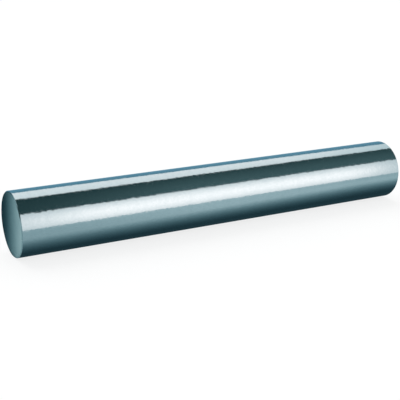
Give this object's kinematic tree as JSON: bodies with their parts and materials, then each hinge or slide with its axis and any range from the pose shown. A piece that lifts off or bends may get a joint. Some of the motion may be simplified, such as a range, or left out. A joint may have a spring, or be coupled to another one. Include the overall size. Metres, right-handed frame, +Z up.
{
  "type": "carbide round bar",
  "caption": "Plain ground round bar of tungsten carbide, cut to a milling-cutter blank's length, with square ends and finely broken corners.",
  "frame": {"origin": "middle of the line that the bar rests on, on the floor halfway between its end faces", "axes": "+X along the bar's axis, +Y across it, +Z up"},
  "size_m": [0.083, 0.012, 0.012],
  "materials": {
    "ground_carbide": "bare cemented carbide, ground round to a near-mirror with very fine marks round the bar, and satin ground end faces; cool grey"
  },
  "bodies": {
    "root": {"round_bar": "ground_carbide"}
  },
  "joints": []
}
